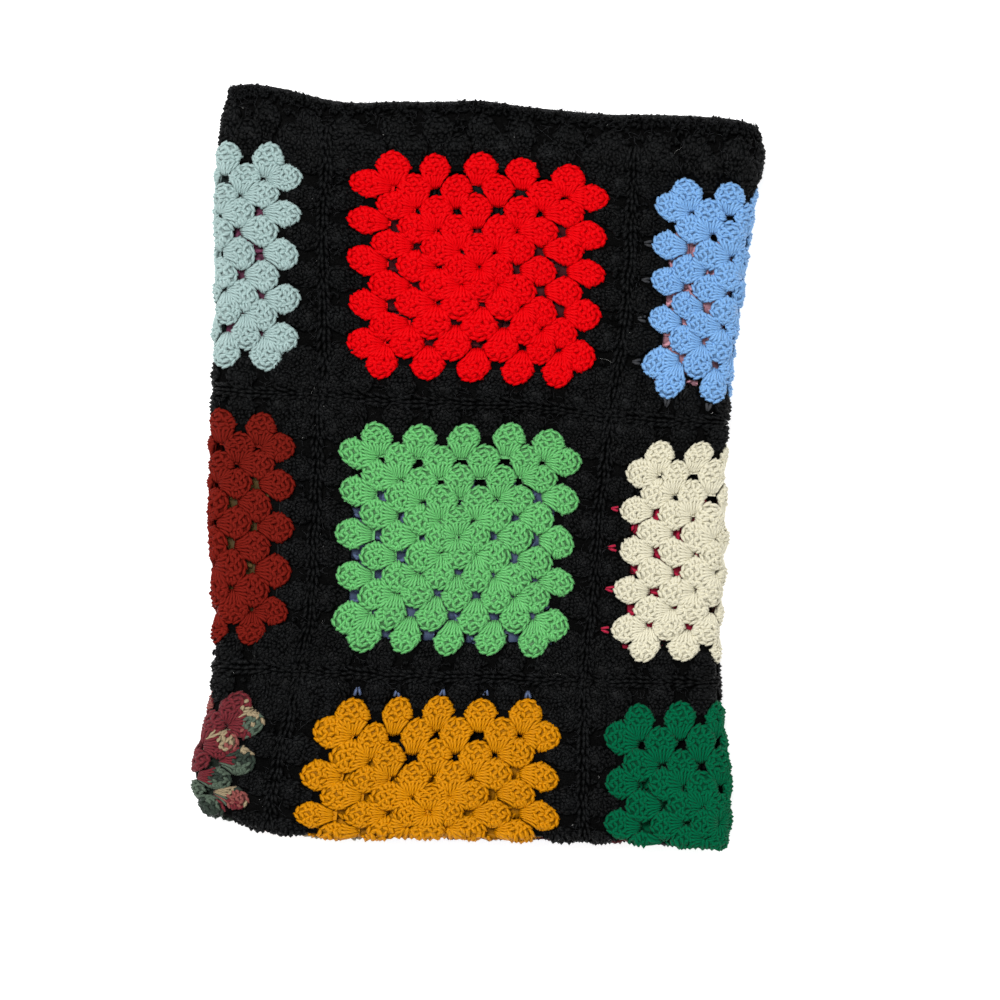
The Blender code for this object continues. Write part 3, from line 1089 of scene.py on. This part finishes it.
# Stray fibres, long hairs and flecks of lint: how many kinds, their length, how far it differs,
# their radius, their yarn, and how many lie in which band.
Fibre = namedtuple("Fibre", "kinds length spread radius yarn scattered")
FIBRES = (
    Fibre(12, 4.5, 1.5, 0.10, "fluff", ((2200, ALL_OVER), (420, TOP_EDGE))),
    Fibre(6, 11, 4, 0.06, "lint", ((12, ALL_OVER),)),
    Fibre(6, 0.9, 0.3, 0.16, "lint", ((70, ALL_OVER),)),
)
# The part of a square, out from its middle, that has black yarn and no join.
BLACK_BAND = (70 * MM, 77 * MM)


def scatter(count, band, yarn="black"):
    """Random places on the face's black yarn, in a band of v, for shapes in a yarn."""
    u = random.uniform(*FACE_U, count * 4)
    v = random.uniform(*band, count * 4)
    shown = on_black(u, v) & ~beyond_folds(*where_on_fold(u, v), SEEN_OF_FOLD)
    return [Place(u[index], v[index], wobble(math.pi), yarn=yarn)
            for index in np.nonzero(shown)[0][:count]]


def on_black(u, v):
    """Whether points lie on black yarn, but not on a join."""
    x = abs((u - BORDER) % SQUARE - SQUARE / 2)
    y = abs((v - BORDER) % SQUARE - SQUARE / 2)
    outside = (np.minimum(u, v) < BORDER) | (np.maximum(u, v) > SIDE - BORDER)
    out = np.maximum(x, y)
    return outside | ((out > BLACK_BAND[0]) & (out < BLACK_BAND[1]))


# Where the lower layer shows in small dots beyond coloured tips: the square, its side in quarter
# turns from the top, the first tip from its left that has one, and the yarn.
TipGap = namedtuple("TipGap", "row column side first yarn")
TIP_GAPS = (TipGap(0, 3, 3, 1, "fluff"), TipGap(0, 3, 2, 0, "fluff"),
            TipGap(1, 3, 3, 1, "crimson"), TipGap(2, 2, 0, 0, "slate_blue"))
PEEK = 69.5


def peeks():
    """Places where yarn of the lower layer shows beyond a coloured tip."""
    middle, pitch = (COLOUR_ROUNDS - 1) / 2, GROUP_PITCH[COLOUR_ROUNDS - 1]
    return [place_in_square(row, column, (middle - index) * pitch, PEEK, side * math.pi / 2,
                            yarn=yarn)
            for row, column, side, first, yarn in TIP_GAPS
            for index in range(first, COLOUR_ROUNDS)]


def make_fuzz():
    """Make the knots, the glimpses of the lower layer, the stray fibres and the lint."""
    places = scatter(KNOTS, ALL_OVER) + scatter(BORDER_KNOTS, TOP_BORDER)
    places += in_zone(edging_places(), "face")
    knots = lay_by_yarn([knot() for _ in range(8)], places)
    fibres = []
    for kinds, length, spread, radius, yarn, scattered in FIBRES:
        hairs = [hair(length + wobble(spread), radius) for _ in range(kinds)]
        places = [place for count, band in scattered for place in scatter(count, band, yarn)]
        fibres += lay_by_yarn(hairs, places)
    knots += lay_by_yarn([glimpse() for _ in range(4)], in_zone(peeks(), "face"))
    return [yarn_object("knots", knots), yarn_object("fibres", fibres)]


# The cord round the blanket, in millimetres: its strands, the step along them, how far they swing,
# their radius, and the length in which they turn by a third.
Edging = namedtuple("Edging", "strands step swing radius")
TOP_EDGING = Edging(3, 1.7, 1.0, 1.15)
PLAIN_EDGING = Edging(1, 6.8, 0.0, 1.7)
EDGE_TWIST = 5.6
EDGE_INSET = 1.6


def make_edge():
    """Make the cord round the blanket's edge: three twisted strands at the top, one elsewhere."""
    laid = []
    middle = SIDE / MM / 2
    length = (SIDE - 2 * EDGE_INSET * MM) / MM
    for side in range(4):
        edging = PLAIN_EDGING if side else TOP_EDGING
        along = np.arange(0, length, edging.step)
        for strand in range(edging.strands):
            angle = (along / EDGE_TWIST + strand) * 2 * math.pi / 3
            out = length / 2 + edging.swing * np.cos(angle) - 0.3 + wobble(0.3, len(along))
            u, v = turned(along - length / 2, out, side * math.pi / 2)
            line = (middle + u, middle + v, edging.swing * np.sin(angle))
            shape = tube(line, np.full(len(along), edging.radius), 5)
            laid.append((shape._replace(points=shape.points * MM), "black"))
    return yarn_object("edge_cord", laid)


# ---------------- the cloth under the stitches

# The cloth's grid, where black begins out from a square's middle, in millimetres, where the cloth
# has no more holes, and where its lower half begins.
FINE_STEP = 3.0 * MM
COARSE_STEP = 9.0 * MM
LOWER_STEP = 4.5 * MM
BLACK_BEGINS = 54
WHOLE_FROM = UPPER_LENGTH + 0.5 * HALF_FOLD_LENGTH
LOWER_BEGINS = UPPER_LENGTH + HALF_FOLD_LENGTH + 4 * MM
# How far round a side fold the cloth has holes, as a share of the fold.
HOLES_OF_FOLD = 0.55
# The cloth's half width under a group at distances from its foot, how far the group reaches, and
# its tip's half width, all in millimetres.
COVER_WIDTHS = ((0.5, 5.4, 10.5, 14.6, 17.5), (2.4, 4.0, 6.4, 5.8, 3.2))
COVER_REACH = 20
TIP_HALF_WIDTH = 8


def grid_lines():
    """Lines across the open blanket and down it, close together where it shows."""
    begin, end = FACE_U
    across = (np.arange(0, begin, COARSE_STEP), np.arange(begin, end, FINE_STEP),
              np.linspace(end, SIDE, int((SIDE - end) / COARSE_STEP) + 1))
    down = (np.arange(0, LOWER_BEGINS, FINE_STEP),
            np.linspace(LOWER_BEGINS, SIDE, int((SIDE - LOWER_BEGINS) / LOWER_STEP) + 1))
    return np.concatenate(across), np.concatenate(down)


def owners(u, v):
    """The yarn of the group that covers each point of the cloth, as an index, or -1."""
    owner = np.full(u.shape, -1)
    reach = COVER_REACH * MM
    for place in ALL_GROUPS:
        near = np.nonzero((abs(u - place.u) < reach) & (abs(v - place.v) < reach))[0]
        x, y = turned(u[near] - place.u, v[near] - place.v, place.turn)
        x, y = x / MM, y / MM
        x = x - place.lean * np.clip(y / GROUP_LENGTH, 0, 1)
        half_width = np.interp(y, *COVER_WIDTHS, left=0, right=0)
        owner[near[abs(x) < half_width]] = YARN_NAMES.index(place.yarn)
    return owner


def in_square(u, v):
    """Row and column of each point's square, and its place from the square's middle."""
    column, row = (np.clip((way - BORDER) // SQUARE, 0, SQUARES_A_SIDE - 1).astype(int)
                   for way in (u, v))
    x = (u - BORDER - (column + 0.5) * SQUARE) / MM
    y = (v - BORDER - (row + 0.5) * SQUARE) / MM
    return row, column, x, y


def in_open_gap(u, v):
    """Whether points lie in gaps between coloured tips that are left open."""
    row, column, x, y = in_square(u, v)
    pitch = GROUP_PITCH[COLOUR_ROUNDS - 1]
    open_gap = np.zeros(u.shape, dtype=bool)
    for gap in OPEN_GAPS:
        aside, out = turned(x, y, gap.side * math.pi / 2)
        from_tip = abs((aside + pitch / 2) % pitch - pitch / 2)
        between_tips = (from_tip > TIP_HALF_WIDTH) & (out > BLACK_BEGINS) & (out < gap.reach)
        open_gap |= (row == gap.row) & (column == gap.column) & between_tips
    return open_gap


def cloth_yarns(u, v):
    """The yarn at each point of the cloth, as an index, or -1 for a hole."""
    row, column, x, y = in_square(u, v)
    black = np.maximum(abs(x), abs(y)) > BLACK_BEGINS
    own = np.array([[YARN_NAMES.index(name) for name in line] for line in SQUARE_YARNS])
    # Black cloth that no group covers gets the darker black: painted shade in the gaps between
    # groups.
    filling = np.where(black, YARN_NAMES.index("black_painted_shade"), own[row, column])
    whole = (v > WHOLE_FROM) | (u < FACE_U[0]) | (u > FACE_U[1])
    whole |= beyond_folds(*where_on_fold(u, v), HOLES_OF_FOLD)
    filled = whole | (black & ~in_open_gap(u, v))
    yarn = owners(u, v)
    return np.where((yarn < 0) & filled, filling, yarn)


def make_cloth():
    """Make the one sheet that the stitches stand on, with the holes of the crochet in it.

    It is left whole where it faces down and in its lower half, where holes would only show the
    floor.
    """
    u_lines, v_lines = grid_lines()
    u, v = np.meshgrid(u_lines, v_lines)
    points = np.stack([u.ravel(), v.ravel(), np.zeros(u.size)], axis=1)
    count = len(u_lines)
    rows, columns = np.meshgrid(np.arange(len(v_lines) - 1), np.arange(count - 1), indexing="ij")
    first = (rows * count + columns).ravel()
    faces = np.stack([first, first + count, first + count + 1, first + 1], axis=1)
    yarn = cloth_yarns(*points[faces].mean(axis=1).T[:2])
    faces, yarn = faces[yarn >= 0], yarn[yarn >= 0]
    used, corners = np.unique(faces.ravel(), return_inverse=True)
    shape = make_shape(points[used], np.full(len(faces), 4), corners.ravel(),
                       np.zeros((faces.size, 2)))
    return mesh_object("cloth", shape, yarn, list(MATERIALS.values()))


# ---------------- the setting

WHITE = (1.0, 1.0, 1.0, 1.0)
FLOOR_SIZE = 12
FLOOR_DROP = 0.0005
FLOOR_GLOW = 0.6
WORLD_STRENGTH = 0.72
SUN_TOWARDS = (0.28, -0.42, -1.0)
SUN_STRENGTH = 2.1
SUN_ANGLE = 22

# The photo's scale in metres a pixel, its size, and how many pixels right of and below the frame's
# origin its middle is. Then the camera's sensor and lens, in millimetres.
PHOTO_SCALE = 0.57 * MM
PHOTO_SIZE = 1000
PHOTO_CENTRE = (22.5, 34.0)
SENSOR = 36.0
LENS = 200.0


def make_floor():
    """A plain white floor, lit from below as a light table is."""
    bpy.ops.mesh.primitive_plane_add(size=FLOOR_SIZE, location=(0, 0, -FLOOR_DROP))
    floor = bpy.context.object
    floor.name = "floor"
    material = bpy.data.materials.new("floor")
    material.use_nodes = True
    set_inputs(material.node_tree.nodes["Principled BSDF"],
               {"Base Color": (0.9, 0.9, 0.9, 1.0), "Roughness": 0.9,
                "Emission Color": WHITE, "Emission Strength": FLOOR_GLOW})
    floor.data.materials.append(material)


def add_light():
    """Soft studio light: a white world and one wide sun, mostly from above."""
    world = bpy.data.worlds.new("studio")
    world.use_nodes = True
    set_inputs(world.node_tree.nodes["Background"], {"Color": WHITE, "Strength": WORLD_STRENGTH})
    bpy.context.scene.world = world
    data = bpy.data.lights.new("key", "SUN")
    data.energy = SUN_STRENGTH
    data.angle = math.radians(SUN_ANGLE)
    light = bpy.data.objects.new("key", data)
    light.rotation_euler = Vector(SUN_TOWARDS).to_track_quat("-Z", "Y").to_euler()
    bpy.context.scene.collection.objects.link(light)


def add_camera():
    """A camera straight above, framed as the photograph is."""
    data = bpy.data.cameras.new("camera")
    data.sensor_width = SENSOR
    data.lens = LENS
    camera = bpy.data.objects.new("camera", data)
    distance = PHOTO_SIZE * PHOTO_SCALE * LENS / SENSOR
    camera.location = (PHOTO_CENTRE[0] * PHOTO_SCALE, -PHOTO_CENTRE[1] * PHOTO_SCALE,
                       CAD_BOX[1][2] + distance)
    bpy.context.scene.collection.objects.link(camera)
    bpy.context.scene.camera = camera


def build():
    """Make every piece of the blanket and its setting."""
    pieces = make_black_rounds() + [make_joins(), make_edge()] + make_fuzz()
    for row, column in SQUARES:
        square = make_square(row, column)
        if square:
            pieces.append(square)
    cloth = make_cloth()
    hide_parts("blanket")
    make_floor()
    add_light()
    add_camera()
    bpy.context.scene.view_settings.view_transform = "Standard"


build()
